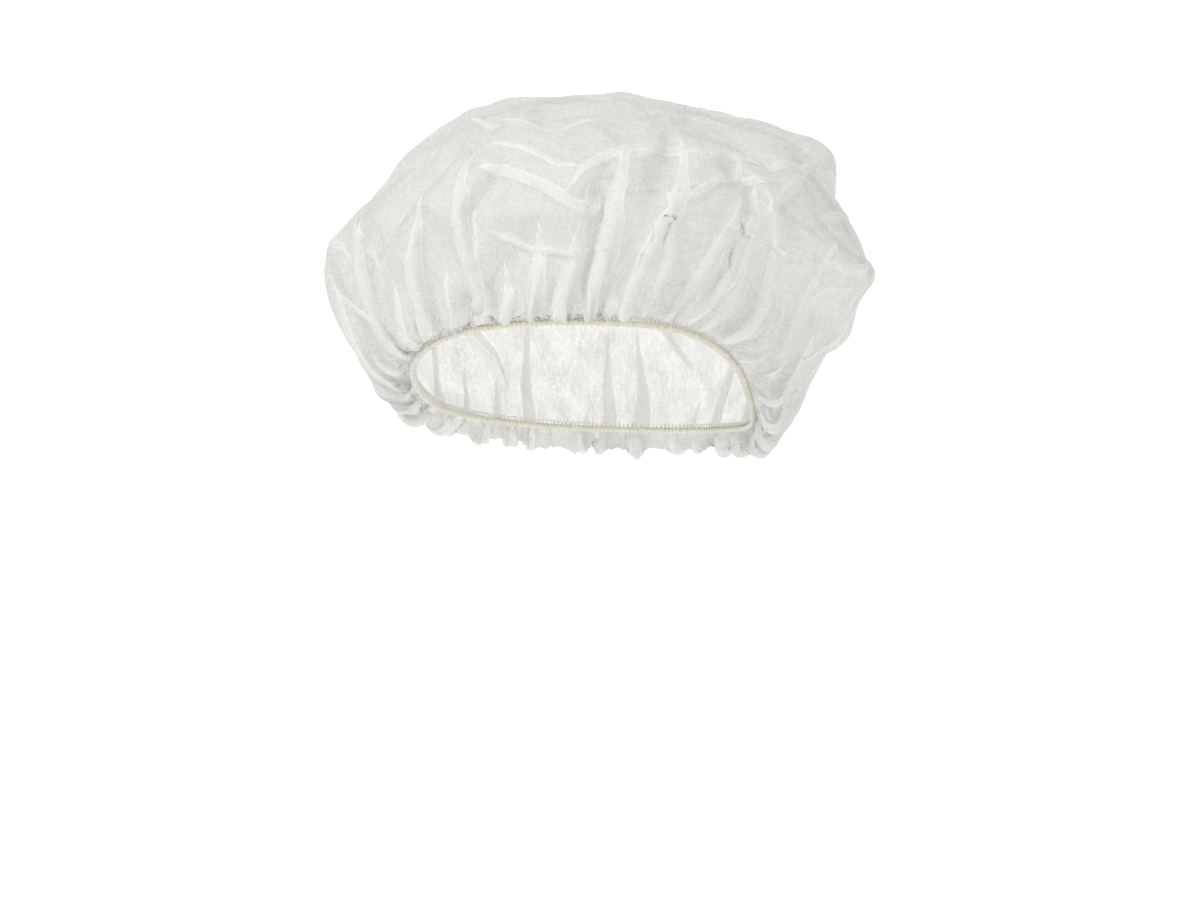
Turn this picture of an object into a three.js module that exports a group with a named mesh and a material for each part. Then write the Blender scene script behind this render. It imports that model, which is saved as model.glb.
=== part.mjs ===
// A disposable bouffant cap as it sits when worn: a puffed crown of thin nonwoven
// fabric, gathered all round onto a stretched elastic band. Millimetres, +Z up,
// the forehead faces -Y, and the origin is the middle of the band at ear height.
// A turn is an angle round +Z in degrees: 0 the forehead, 90 the wearer's left ear.
import * as THREE from "three";

// The elastic band, stretched round a head
const BAND_WIDTH = 147; // ear to ear, centre line to centre line
const BAND_DEPTH = 190; // forehead to nape
const BAND_RISE = 37; // forehead stretch above the stretch over the ears
const ELASTIC_DIAMETER = 2.6;
const ELASTIC_SIDES = 8;
const ELASTIC_STEPS = 96;

// The puffed crown
const CAP_WIDTH = 236;
const CAP_DEPTH = 250;
const CAP_HEIGHT = 139; // top of the crown above the origin
const CAP_SET_BACK = 12; // middle of the crown behind the middle of the band
const HANG = 20; // fabric that droops below the elastic
const FABRIC_THICKNESS = 1;
const SEAM_GAP = 0.6; // between the fabric's edge and the elastic
const SEAM_ROLL = 4.5; // how far the fabric stands out over the elastic
const SEAM_RISE = 4; // how far it rises there, where the next fold is all above the elastic

// The gathers that the elastic pulls into the fabric
const GATHER_DEPTH = 6; // valley to ridge, where a usual gather is deepest
const GATHER_REACH = 70; // from the elastic to where a usual gather has faded out
const GATHER_START = 12; // from the elastic to where it is deepest
const GATHER_LEAN = 10; // degrees that a ridge turns on its way up
const REAR_GATHERS = 14; // those that the table of gathers doesn't list

// Long creases of the crown
const CREASE_HEIGHT = 6;
const CREASE_WIDTH = 13;

// Rows of a table, each an object with the named columns.
function table(columns, ...rows) {
  return rows.map((row) => Object.fromEntries(columns.map((name, i) => [name, row[i]])));
}

// How high the elastic sits round the head, as shares of BAND_RISE
const BAND_LINE = table(
  ["turn", "rise"],
  [15, 1.0],
  [45, 0.92],
  [75, 0.57],
  [105, 0.0],
  [135, -0.14],
  [195, -0.12],
  [255, 0.1],
  [285, 0.36],
  [315, 0.66],
  [345, 0.92],
);

// Meridians of the crown from the band to the top, one row for each turn. Each Out is
// a share of the crown's radius at that turn. fallRise is a share of HANG above the
// elastic, and each other Rise a share of CAP_HEIGHT above the origin.
const MERIDIANS = table(
  ["turn", "fallOut", "fallRise", "lowOut", "lowRise", "bellyOut", "bellyRise",
    "shoulderOut", "shoulderRise", "crownOut", "crownRise"],
  [15, 0.8, 0.55, 0.88, 0.45, 0.95, 0.64, 0.82, 0.82, 0.5, 0.94],
  [45, 0.79, 0.45, 0.9, 0.42, 0.97, 0.62, 0.83, 0.81, 0.54, 0.905],
  [75, 0.75, 0.0, 0.83, 0.3, 0.99, 0.55, 0.84, 0.77, 0.64, 0.88],
  [105, 0.69, -0.5, 0.77, 0.11, 1.03, 0.44, 0.87, 0.66, 0.7, 0.87],
  [135, 0.73, -0.4, 0.83, 0.1, 1.0, 0.42, 0.82, 0.71, 0.58, 0.88],
  [165, 0.8, -0.5, 0.92, 0.04, 0.99, 0.36, 0.84, 0.74, 0.48, 0.92],
  [210, 0.8, -0.5, 0.92, 0.03, 0.99, 0.35, 0.82, 0.73, 0.46, 0.93],
  [255, 0.76, -0.2, 0.88, 0.1, 0.97, 0.42, 0.73, 0.7, 0.44, 0.93],
  [285, 0.69, -0.05, 0.83, 0.15, 0.97, 0.46, 0.68, 0.7, 0.44, 0.94],
  [325, 0.78, 0.25, 0.87, 0.35, 0.95, 0.56, 0.76, 0.78, 0.46, 0.945],
);
const TOP_OUT = 0.18; // share of the radius where the top becomes level

// Gathers over the forehead and temples. depth and reach are shares of the usual ones,
// and lean is a share of GATHER_LEAN.
const FRONT_GATHERS = table(
  ["turn", "depth", "reach", "lean"],
  [-82, 1.0, 0.9, -0.4],
  [-67, 1.1, 1.1, 0.2],
  [-53, 0.9, 0.8, 0.5],
  [-40, 1.2, 1.0, 0.8],
  [-29, 1.1, 1.2, 1.0],
  [-19, 0.8, 0.7, 0.2],
  [-10, 1.0, 1.5, -0.2],
  [-3, 0.6, 0.6, -0.3],
  [3, 0.8, 0.9, 0.2],
  [9, 0.9, 1.1, 0.6],
  [16, 1.0, 1.5, 0.6],
  [24, 1.1, 1.6, 1.2],
  [31, 0.7, 1.0, 0.2],
  [37, 1.0, 1.4, 0.9],
  [44, 1.0, 1.3, 0.6],
  [51, 0.7, 0.8, -0.4],
  [60, 1.3, 1.3, -0.7],
  [69, 0.7, 0.7, 0.0],
  [77, 1.2, 1.2, -0.2],
  [87, 0.8, 0.8, 0.1],
  [96, 1.0, 1.1, 0.3],
  [105, 0.9, 0.8, 0.3],
);

// Long creases from one place to another. A level is a share of the way up a meridian.
const CREASES = table(
  ["fromTurn", "fromLevel", "toTurn", "toLevel", "height"],
  [-10, 0.36, 2, 0.33, 0.8],
  [2, 0.33, 14, 0.21, 0.9],
  [12, 0.3, 24, 0.38, 0.9],
  [24, 0.38, 56, 0.43, 0.9],
  [56, 0.43, 78, 0.51, 0.8],
  [78, 0.51, 102, 0.61, 0.9],
  [50, 0.29, 60, 0.37, 0.6],
  [60, 0.37, 78, 0.51, 0.7],
  [-34, 0.62, 6, 0.47, 0.5],
  [6, 0.47, 24, 0.6, 0.5],
  [-12, 0.43, 10, 0.34, 0.5],
  [-54, 0.46, -40, 0.26, 0.4],
  [-62, 0.28, -46, 0.1, 0.6],
  [74, 0.26, 100, 0.4, 0.8],
  [79, 0.14, 90, 0.3, 0.6],
  [122, 0.42, 146, 0.62, 0.8],
  [146, 0.62, 205, 0.56, 0.7],
  [205, 0.56, 236, 0.34, 0.9],
  [170, 0.26, 196, 0.42, 0.8],
  [246, 0.6, 268, 0.4, 0.6],
);

// Rings of points from the edge to the top: the share of the meridian, and how
// many of the edge's columns each ring keeps (1 keeps all, 2 every second one).
const RINGS = table(
  ["level", "keeps"],
  ...[0, 0.02, 0.045, 0.08, 0.12, 0.165, 0.21, 0.255, 0.3, 0.345, 0.39, 0.44, 0.49]
    .map((level) => [level, 1]),
  ...[0.54, 0.59, 0.64, 0.7, 0.76].map((level) => [level, 2]),
  ...[0.83, 0.89].map((level) => [level, 4]),
  [0.95, 8],
);

// Broad swells (positive) and dents (negative) of the crown, in millimetres
const SWELLS = table(
  ["turn", "level", "lift", "breadth"],
  [100, 0.6, 6, 16],
  [107, 0.5, -7, 16],
  [-78, 0.56, -3, 26],
  [-66, 0.24, -4, 14],
  [150, 0.5, -5, 30],
  [190, 0.56, 5, 34],
  [232, 0.5, -5, 28],
);

const radians = THREE.MathUtils.degToRad;
const wrap = THREE.MathUtils.euclideanModulo;

// Value of a column of a table at a turn, smooth and periodic in the rows' turns.
function around(rows, column, turn) {
  const row = (i) => rows[wrap(i, rows.length)];
  const place = (i) => row(i).turn + 360 * Math.floor(i / rows.length);
  const slope = (i) => (row(i + 1)[column] - row(i - 1)[column]) / (place(i + 1) - place(i - 1));
  const at = wrap(turn - rows[0].turn, 360) + rows[0].turn;
  let i = 0;
  while (place(i + 1) <= at) i += 1;
  const step = place(i + 1) - place(i);
  const t = (at - place(i)) / step;
  const blend = (3 - 2 * t) * t * t;
  return (
    row(i)[column] * (1 - blend) +
    row(i + 1)[column] * blend +
    step * t * (1 - t) * (slope(i) * (1 - t) - slope(i + 1) * t)
  );
}

function ellipseRadius(width, depth, turn) {
  const a = radians(turn);
  return 1 / Math.hypot(Math.sin(a) / (width / 2), Math.cos(a) / (depth / 2));
}

// A point at a turn, at a radius from a middle that lies setBack behind the origin.
function placeAt(turn, radius, setBack, height) {
  const a = radians(turn);
  return new THREE.Vector3(radius * Math.sin(a), setBack - radius * Math.cos(a), height);
}

function bandPoint(turn) {
  const height = BAND_RISE * around(BAND_LINE, "rise", turn);
  return placeAt(turn, ellipseRadius(BAND_WIDTH, BAND_DEPTH, turn), 0, height);
}

// The crown's smooth line from the fabric's edge, above the elastic, to the top.
function meridian(turn) {
  const radius = ellipseRadius(CAP_WIDTH, CAP_DEPTH, turn);
  const share = (column) => around(MERIDIANS, column, turn);
  const band = bandPoint(turn);
  const edge = band.clone();
  edge.z += ELASTIC_DIAMETER / 2 + SEAM_GAP + FABRIC_THICKNESS / 2;
  const roll = edge.clone().add(placeAt(turn, SEAM_ROLL, 0, SEAM_RISE * share("fallRise")));
  const out = (name, setBack, height) =>
    placeAt(turn, radius * share(name + "Out"), setBack, height);
  const rise = (name) => CAP_HEIGHT * share(name + "Rise");
  return new THREE.CatmullRomCurve3(
    [
      edge,
      roll,
      out("fall", CAP_SET_BACK / 3, band.z + HANG * share("fallRise")),
      out("low", CAP_SET_BACK, rise("low")),
      out("belly", CAP_SET_BACK, rise("belly")),
      out("shoulder", CAP_SET_BACK, rise("shoulder")),
      out("crown", CAP_SET_BACK, rise("crown")),
      placeAt(turn, radius * TOP_OUT, CAP_SET_BACK, CAP_HEIGHT),
      new THREE.Vector3(0, CAP_SET_BACK, CAP_HEIGHT),
    ],
    false,
    "centripetal",
  );
}

// All gathers round the band in order. Those behind the ears share the arc that the
// table leaves, with a steady variation in place, depth, reach and lean.
function allGathers() {
  const first = FRONT_GATHERS[0].turn + 360;
  const last = FRONT_GATHERS[FRONT_GATHERS.length - 1].turn;
  const step = (first - last) / (REAR_GATHERS + 1);
  const rear = Array.from({ length: REAR_GATHERS }, (_, i) => {
    const vary = Math.sin(2.4 * (i + 1));
    const other = Math.sin(1.7 * (i + 1));
    return {
      turn: last + step * (i + 1 + 0.25 * vary),
      depth: 1 + 0.25 * other,
      reach: 1 + 0.3 * vary,
      lean: 0.6 * other,
    };
  });
  return [...FRONT_GATHERS, ...rear];
}

// Four columns for each gather: its valley, the flank up, the ridge and the flank down.
// crest is where between valley (-0.5) and ridge (0.5) the column runs.
function gatherColumns() {
  const gathers = allGathers();
  const mean = (a, b, t) => ({
    turn: a.turn + (wrap(b.turn - a.turn, 360)) * t,
    depth: a.depth + (b.depth - a.depth) * t,
    reach: a.reach + (b.reach - a.reach) * t,
    lean: a.lean + (b.lean - a.lean) * t,
  });
  return gathers.flatMap((gather, i) => {
    const next = gathers[(i + 1) % gathers.length];
    return [
      { ...gather, crest: 0.5 },
      { ...mean(gather, next, 0.28), crest: 0.1 },
      { ...mean(gather, next, 0.5), crest: -0.5 },
      { ...mean(gather, next, 0.78), crest: 0 },
    ];
  });
}

// How far a gather lifts the fabric at a distance from the elastic.
function gatherLift(column, distance) {
  const reach = GATHER_REACH * column.reach;
  const grown = THREE.MathUtils.smoothstep(distance, 0, GATHER_START);
  const faded = 1 - THREE.MathUtils.smoothstep(distance, GATHER_START, reach);
  return column.crest * GATHER_DEPTH * column.depth * grown * faded;
}

// Sample points along each crease on the smooth crown.
function creaseLines() {
  const samples = 12;
  return CREASES.map((crease) => {
    const line = Array.from({ length: samples + 1 }, (_, i) => {
      const t = i / samples;
      const turn = THREE.MathUtils.lerp(crease.fromTurn, crease.toTurn, t);
      const level = THREE.MathUtils.lerp(crease.fromLevel, crease.toLevel, t);
      return meridian(turn).getPointAt(level);
    });
    return { line, height: CREASE_HEIGHT * crease.height };
  });
}

// How far the creases lift the fabric at a point: each is a sharp ridge between flat sides.
function creaseLift(point, creases) {
  const lifts = creases.map(({ line, height }) => {
    const near = Math.min(...line.map((p) => p.distanceTo(point)));
    return height * Math.max(0, 1 - near / CREASE_WIDTH);
  });
  return Math.max(...lifts);
}

// How far the swells lift the fabric at a point.
function swellLift(point) {
  const lifts = SWELLS.map(({ turn, level, lift, breadth }) => {
    const share = meridian(turn).getPointAt(level).distanceTo(point) / breadth;
    return lift * Math.exp(-share * share);
  });
  return lifts.reduce((total, lift) => total + lift, 0);
}

// Faces between a ring and the next one up, which has as many points or half.
function joinRings(low, high, faces) {
  const ratio = low.length / high.length;
  high.forEach((h, i) => {
    const next = high[(i + 1) % high.length];
    const l = (n) => low[(i * ratio + n) % low.length];
    if (ratio === 1) faces.push(l(0), l(1), next, l(0), next, h);
    else faces.push(l(0), l(1), h, l(1), next, h, l(1), l(2), next);
  });
}

// The fabric's middle surface, with its gathers and creases.
function crownSurface() {
  const columns = gatherColumns();
  const points = [];
  const lifts = [];
  const faces = [];
  const creases = creaseLines();
  const length = meridian(0).getLength();
  const rings = RINGS.map(({ level, keeps }) => {
    const kept = columns.filter((_, i) => i % keeps === 0);
    return kept.map((column) => {
      const climb = THREE.MathUtils.smoothstep(level, 0, 0.5);
      const point = meridian(column.turn + GATHER_LEAN * column.lean * climb).getPointAt(level);
      points.push(point);
      lifts.push(gatherLift(column, level * length) + creaseLift(point, creases) + swellLift(point));
      return points.length - 1;
    });
  });
  rings.slice(1).forEach((ring, i) => joinRings(rings[i], ring, faces));
  const last = rings[rings.length - 1];
  points.push(new THREE.Vector3(0, CAP_SET_BACK, CAP_HEIGHT));
  lifts.push(0);
  last.forEach((p, i) => faces.push(p, last[(i + 1) % last.length], points.length - 1));
  const surface = new THREE.BufferGeometry().setFromPoints(points);
  surface.setIndex(faces);
  surface.computeVertexNormals();
  const normal = surface.getAttribute("normal");
  const lifted = points.map((p, i) =>
    p.addScaledVector(new THREE.Vector3().fromBufferAttribute(normal, i), lifts[i]),
  );
  surface.setFromPoints(lifted);
  return surface;
}

// A closed wall of one thickness round an open surface.
function thicken(surface, thickness) {
  surface.computeVertexNormals();
  const place = surface.getAttribute("position");
  const normal = surface.getAttribute("normal");
  const index = surface.getIndex().array;
  const count = place.count;
  const points = [];
  for (const side of [1, -1]) {
    for (let i = 0; i < count; i += 1) {
      const p = new THREE.Vector3().fromBufferAttribute(place, i);
      const n = new THREE.Vector3().fromBufferAttribute(normal, i);
      points.push(p.addScaledVector(n, (side * thickness) / 2));
    }
  }
  const faces = [...index];
  const edges = new Set();
  for (let i = 0; i < index.length; i += 3) {
    const [a, b, c] = [index[i], index[i + 1], index[i + 2]];
    faces.push(c + count, b + count, a + count);
    for (const [p, q] of [[a, b], [b, c], [c, a]]) edges.add(`${p},${q}`);
  }
  for (const edge of edges) {
    const [p, q] = edge.split(",").map(Number);
    if (!edges.has(`${q},${p}`)) faces.push(q, p, p + count, q, p + count, q + count);
  }
  const wall = new THREE.BufferGeometry().setFromPoints(points);
  wall.setIndex(faces);
  return wall;
}

function elasticBand() {
  const points = Array.from({ length: ELASTIC_STEPS }, (_, i) =>
    bandPoint((360 * i) / ELASTIC_STEPS),
  );
  const path = new THREE.CatmullRomCurve3(points, true);
  return new THREE.TubeGeometry(
    path,
    ELASTIC_STEPS,
    ELASTIC_DIAMETER / 2,
    ELASTIC_SIDES,
    true,
  );
}

function named(name, geometry, material) {
  const mesh = new THREE.Mesh(geometry, new THREE.MeshStandardMaterial(material));
  mesh.name = name;
  return mesh;
}

const cap = new THREE.Group();
cap.add(
  named("crown", thicken(crownSurface(), FABRIC_THICKNESS), {
    color: 0xeeeeea,
    roughness: 0.9,
  }),
  named("elastic_band", elasticBand(), { color: 0xe9e3c9, roughness: 0.8 }),
);

export default cap;
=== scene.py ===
"""A disposable bouffant cap in its worn form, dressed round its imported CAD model.

Metres, +Z up, the forehead faces -Y. A turn is an angle round +Z in degrees: 0 is the
forehead and 90 the wearer's left ear. A level is a share of the way from the elastic to
the top of the crown.
"""

import math

import bpy
import numpy as np
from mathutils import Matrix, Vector, noise


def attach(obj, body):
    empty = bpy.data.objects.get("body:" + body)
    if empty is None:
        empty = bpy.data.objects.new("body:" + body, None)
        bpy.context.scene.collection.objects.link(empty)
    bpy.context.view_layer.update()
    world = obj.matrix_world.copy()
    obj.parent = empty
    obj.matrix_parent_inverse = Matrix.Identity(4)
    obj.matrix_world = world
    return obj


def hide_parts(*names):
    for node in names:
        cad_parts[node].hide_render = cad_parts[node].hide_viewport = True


MM = 0.001

# The band and the puffed crown, as in the part's source
BAND_WIDTH, BAND_DEPTH, BAND_RISE = 147 * MM, 190 * MM, 37 * MM
CORD_RADIUS = 1.15 * MM
CAP_WIDTH, CAP_DEPTH, CAP_HEIGHT = 236 * MM, 250 * MM, 139 * MM
CAP_SET_BACK = 12 * MM
FALL_SET_BACK = CAP_SET_BACK / 3
HANG = 20 * MM
SEAM_HEIGHT = 1.1 * MM  # the fabric's edge above the middle of the elastic
SEAM_ROLL, SEAM_RISE = 4 * MM, 4 * MM
TOP_OUT = 0.18

# The flat disc that the cap is cut from
DISC_DIAMETER = 0.483

# Height of the elastic round the head, as a share of BAND_RISE
BAND_LINE = (
    (15, 1.0), (45, 0.92), (75, 0.57), (105, 0.0), (135, -0.14),
    (195, -0.12), (255, 0.1), (285, 0.36), (315, 0.66), (345, 0.92),
)

# Turn, then out and rise of the fall, low, belly, shoulder and crown points
MERIDIANS = (
    (15, 0.8, 0.55, 0.88, 0.45, 0.95, 0.64, 0.83, 0.82, 0.5, 0.945),
    (45, 0.79, 0.45, 0.9, 0.42, 0.97, 0.62, 0.83, 0.81, 0.54, 0.915),
    (75, 0.75, 0.0, 0.83, 0.3, 0.99, 0.55, 0.86, 0.77, 0.66, 0.885),
    (105, 0.69, -0.5, 0.77, 0.11, 1.03, 0.44, 0.89, 0.67, 0.75, 0.875),
    (135, 0.73, -0.4, 0.83, 0.1, 1.0, 0.42, 0.84, 0.71, 0.6, 0.88),
    (165, 0.8, -0.5, 0.92, 0.04, 0.99, 0.36, 0.86, 0.74, 0.5, 0.92),
    (210, 0.8, -0.5, 0.92, 0.03, 0.99, 0.35, 0.84, 0.73, 0.48, 0.93),
    (255, 0.76, -0.2, 0.88, 0.1, 0.98, 0.42, 0.74, 0.7, 0.46, 0.935),
    (285, 0.69, -0.05, 0.83, 0.15, 0.99, 0.47, 0.7, 0.71, 0.46, 0.945),
    (325, 0.78, 0.25, 0.87, 0.35, 0.95, 0.56, 0.77, 0.78, 0.48, 0.95),
)
MERIDIAN_COLUMNS = len(MERIDIANS[0]) - 1

# Pleats in order round the band: turn, size, level where it fades out, degrees of lean,
# and 1 or -1 for its steep side
FRONT_PLEATS = (
    (-84, 0.35, 0.22, -3, 1), (-70, 0.45, 0.3, 2, 1), (-57, 0.35, 0.2, 4, -1),
    (-45, 0.5, 0.3, 6, 1), (-36, 0.35, 0.16, 4, 1), (-28, 0.55, 0.28, 9, -1),
    (-19, 0.3, 0.14, 3, 1), (-10, 0.55, 0.42, -3, -1), (-3, 0.35, 0.13, -3, 1),
    (3, 0.55, 0.2, 2, 1), (9, 0.55, 0.26, 6, -1), (16, 0.62, 0.4, 6, -1),
    (24, 0.6, 0.42, 12, -1), (31, 0.5, 0.27, -1, 1), (37, 0.55, 0.4, 12, -1),
    (44, 0.5, 0.34, 8, -1), (51, 0.4, 0.2, -4, 1), (60, 0.65, 0.34, -7, -1),
    (69, 0.35, 0.16, 0, 1), (77, 0.5, 0.3, -2, -1), (87, 0.4, 0.22, 1, 1),
    (96, 0.45, 0.3, 3, -1), (105, 0.4, 0.22, 3, 1),
)

# The plain pleats over the rest of the band: the mean of each value, and how far it varies
REAR_PLEATS = 17
REAR_SIZE = (0.46, 0.12)
REAR_LEVEL = (0.27, 0.1)
REAR_LEAN = 5
REAR_SHIFT = 0.2  # of a step along the band
REAR_BEATS = (2.4, 1.7)  # radians from pleat to pleat of the two waves that vary them

LEAN_LEVEL = 0.45  # where a pleat has all its lean
PLEAT_ROUND = 5.2 * MM  # height of a rounded pleat of size 1 from its valleys to its ridge
PLEAT_SHARP = 1.5  # how narrow its rounded ridge is
PLEAT_VALLEY = 0.3  # share of that height that lies below the smooth cloth
PLEAT_FADE = 0.3  # share of its last level where it starts to fade
PLEAT_START = 9 * MM  # distance from the seam where it has all its height
PLEAT_EDGE = 8.5 * MM  # greatest half width of the flat fold of a pleat of size 1
PLEAT_LIFT = 0.3  # how far its flat fold stands out, as a share of its half width
PLEAT_FOOT = 0.015  # level where its flat fold starts
PLEAT_PAST = 1.2  # how far the flat fold runs, as a share of the pleat's last level
PLEAT_STOPS = 6

# Long flattened tucks of the crown: half width in mm, then turn and level of the points
TUCKS = (
    (2.6, (-11, 0.36), (-4, 0.345), (3, 0.31), (8, 0.27), (15, 0.2)),
    (2.2, (7, 0.25), (13, 0.33), (22, 0.38), (36, 0.4), (56, 0.43), (74, 0.48), (100, 0.6)),
    (1.8, (29, 0.24), (41, 0.33), (52, 0.37), (64, 0.42)),
    (1.4, (9, 0.265), (13, 0.24), (18, 0.21)),
    (1.5, (-9, 0.24), (-3, 0.19), (2, 0.16), (8, 0.155), (16, 0.16), (25, 0.18)),
    (1.5, (-12, 0.43), (0, 0.4), (8, 0.34), (14, 0.335)),
    (1.6, (-34, 0.6), (-12, 0.53), (6, 0.47), (11, 0.43)),
    (1.6, (6, 0.47), (12, 0.5), (26, 0.6), (50, 0.7)),
    (2.0, (-56, 0.5), (-47, 0.38), (-40, 0.26), (-37, 0.16)),
    (1.7, (-62, 0.36), (-50, 0.3), (-43, 0.22)),
    (2.0, (-66, 0.3), (-54, 0.2), (-46, 0.1)),
    (2.2, (50, 0.28), (58, 0.36), (68, 0.45), (82, 0.54), (98, 0.6)),
    (2.0, (72, 0.25), (84, 0.32), (102, 0.42)),
    (1.8, (77, 0.14), (81, 0.24), (92, 0.34)),
    (1.6, (66, 0.34), (82, 0.42), (98, 0.5)),
    (2.2, (118, 0.4), (132, 0.52), (146, 0.62), (176, 0.6), (205, 0.55)),
    (2.2, (205, 0.55), (222, 0.44), (238, 0.32)),
    (2.0, (168, 0.24), (180, 0.34), (197, 0.44)),
    (1.8, (140, 0.28), (152, 0.38), (158, 0.5)),
    (1.8, (246, 0.62), (258, 0.5), (270, 0.36)),
    (1.6, (150, 0.74), (200, 0.7), (250, 0.72)),
    (1.6, (215, 0.22), (225, 0.34), (228, 0.46)),
)
TUCK_LIFT = 0.6  # how far a tuck stands out, as a share of its half width

# Across a flat fold in half widths, and how far it stands out there, as a share of its lift
FOLD_PROFILE = (
    (-3.2, -1.9, -1.05, -0.6, 0.0, 0.9, 1.9, 3.2),
    (0.0, -0.32, 0.1, 0.95, 1.0, 0.62, 0.12, 0.0),
)
FOLD_REACH = FOLD_PROFILE[0][-1]
FOLD_STEPS = 10  # short straight steps of its line from stop to stop
LEAST_HALF = 0.2 * MM  # the narrowest half width that the profile is spread over
# Along a tuck, where it is at its full breadth, and where it starts to narrow again
TUCK_ENDS = (0.25, 0.7)
# Along a pleat's flat fold from the seam, and its breadth there
PLEAT_TAPER = ((0, 0.05, 0.3, 1), (0.25, 0.5, 1, 0))
BAND_UNIT = 3 * MM  # the fold's mark for the material is 1 this far inside its edge
BAND_SHIFT = 0.2  # how far the mark's middle lies to the long side, in half widths

# Broad swells and dents: turn, level, lift and breadth in mm
SWELLS = (
    (101, 0.6, 10, 14), (107, 0.5, -7, 14), (108, 0.41, 3, 12), (107, 0.345, -4, 7),
    (104, 0.28, 3, 11), (100, 0.16, -6, 12), (-78, 0.56, -3, 26), (-66, 0.24, -4, 14),
    (150, 0.5, -6, 30), (190, 0.56, 5, 34), (232, 0.5, -6, 28), (20, 0.55, -3, 26),
    (-30, 0.4, 3, 22), (55, 0.56, -3, 20), (0, 0.26, -3, 16), (46, 0.24, -2, 14),
)

# Crumples from noise: waves in a metre, and height
CRUMPLES = ((17, 1.2 * MM), (38, 0.48 * MM), (85, 0.18 * MM))
CRUMPLE_RIDGE = 3.2  # how sharp their ridges are
CRUMPLE_TALL = 0.8  # waves in a metre of height, as a share of those across
CRUMPLE_LEVELS = (0.04, 0.25)  # from where they start to where they have all their height

# The cloth run: how much the cloth outgrows its place, and what holds and stiffens it
CLOTH_GROWTH = 0.125
CLOTH_HOLD = 0.12  # how firmly the run holds the cloth to its place
# Levels, and how much of its growth the cloth leaves out there
CLOTH_CALM = ((0.35, 0.6, 0.8), (0, 0.45, 0.75))
CLOTH_STIFFNESS, CLOTH_SHEAR, CLOTH_BEND = 15, 5, 40
CLOTH_MASS = 0.02
CLOTH_DRAG = 4
CLOTH_QUALITY = 5
CLOTH_FRAMES = 16
CLOTH_REACH = 5 * MM  # how far the run may move a point
CLOTH_SHARE = 3  # the run takes every third turn and level of the grid
CLOTH_TOP = 0.94  # the run leaves out the middle of the top
HELD_LEVELS = 2  # rows of the run's mesh that are held still at both ends
SWELL_CELLS = 6  # the run's mean movement over this many cells each way is taken out again

# Small uneven gathers along the seam
RIPPLE = 2.1 * MM
RIPPLES = 230
RIPPLE_SEED = 7
LEAST_RIPPLE = 0.4  # the lowest one, as a share of the highest
RIPPLE_GROWN, RIPPLE_FADES, RIPPLE_ENDS = 6 * MM, 8 * MM, 40 * MM  # from the seam
REAR_RIPPLE = 0.7  # how strong they are at the nape
REAR_ARC = (50, 90)  # degrees from the nape over which they grow to their full strength

# Steps of the smooth crown, and of the mesh that is made from it
GRID_TURNS, GRID_LEVELS = 720, 240
SEGMENT_STEPS = 24
COLUMNS = 576
# Levels from which on the mesh has every column, every second and every fourth
COLUMN_STEPS = ((0, 1), (0.62, 2), (0.84, 4))
ROW_STEP = 0.0036  # in level, at the seam
# What a row's step grows by, and the levels over which it does
ROW_GROWTH = ((0.0032, 0.05, 0.3), (0.004, 0.6, 0.9))
LAST_ROW = 0.985

TINY = 1e-12  # keeps a division by a length of zero from failing

# The elastic, and its unevenness: share of its radius, and waves round the head
CORD_STEPS = 1200
CORD_SIDES = 10
CORD_WAVES = ((0.06, 140), (0.04, 61))

# The overlock stitches
STITCHES = 286
STITCH_STEPS = 12
STITCH_HEIGHT = 4.4 * MM
STITCH_DROP = 1.45 * MM  # how far the loops reach below the middle of the elastic
STITCH_CLEARANCE = 0.25 * MM  # from the elastic to the middle of the thread
STITCH_LEAN = 0.9 * MM  # how far a loop runs along the band
STITCH_UNEVEN = 0.08
STITCH_SEED = 3
THREAD_RADIUS = 0.21 * MM
THREAD_SIDES = 5

# The fabric's fibres: waves in a metre of the flat disc, seed, and width of the lines
FIBRES = ((380, 0.7, 0.045), (300, 2.1, 0.04), (460, 3.6, 0.05), (230, 5.2, 0.03))
FIBRE_STRETCH = 0.45  # waves along a fibre, as a share of those across it
# The cloth's own colour, then the whitest colour: the fibres' own whiter tone reaches part way to
# it, and folded bands are painted towards it as painted light for the brighter look of stacked
# layers
SINGLE_COLOUR, FIBRE_TONE_AND_PAINTED_LIGHT_COLOUR = (0.765, 0.765, 0.735, 1), (0.96, 0.955, 0.93, 1)
CLEAR_COLOUR = (0.97, 0.98, 0.97, 1)
NOISE_SPREAD = (0.35, 0.65)  # where nearly all of a noise texture's values lie
# How dense the fabric is between fibres and on them, and what thick and thin places change
DENSITY, CLOUD_DENSITY = (0.64, 0.84), (-0.07, 0.07)
BAND_EDGE = (-0.03, 0.09)  # the fold's mark, where its denser band with painted light starts and is full
BAND_CORE = (0.1, 0.4)  # the fold's mark, where the band's painted light starts to lessen towards its middle
# Extra density of folded bands; painted light on folded bands, and the drop of it in their
# middles; the fibres' own whiter tone
BAND_DENSITY, BAND_PAINTED_LIGHT, CORE_PAINTED_LIGHT, FIBRE_WHITE = 0.3, 0.72, -0.3, 0.3
LIGHT_THROUGH = 0.22  # share of the light that the fibres scatter through

# Elastic and thread: darkest and lightest colour, waves in a metre, and roughness
ELASTIC_LOOK = ((0.74, 0.69, 0.52, 1), (0.88, 0.84, 0.7, 1), 900, 0.75)
THREAD_LOOK = ((0.88, 0.87, 0.8, 1), (0.97, 0.96, 0.93, 1), 2200, 0.7)

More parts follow.
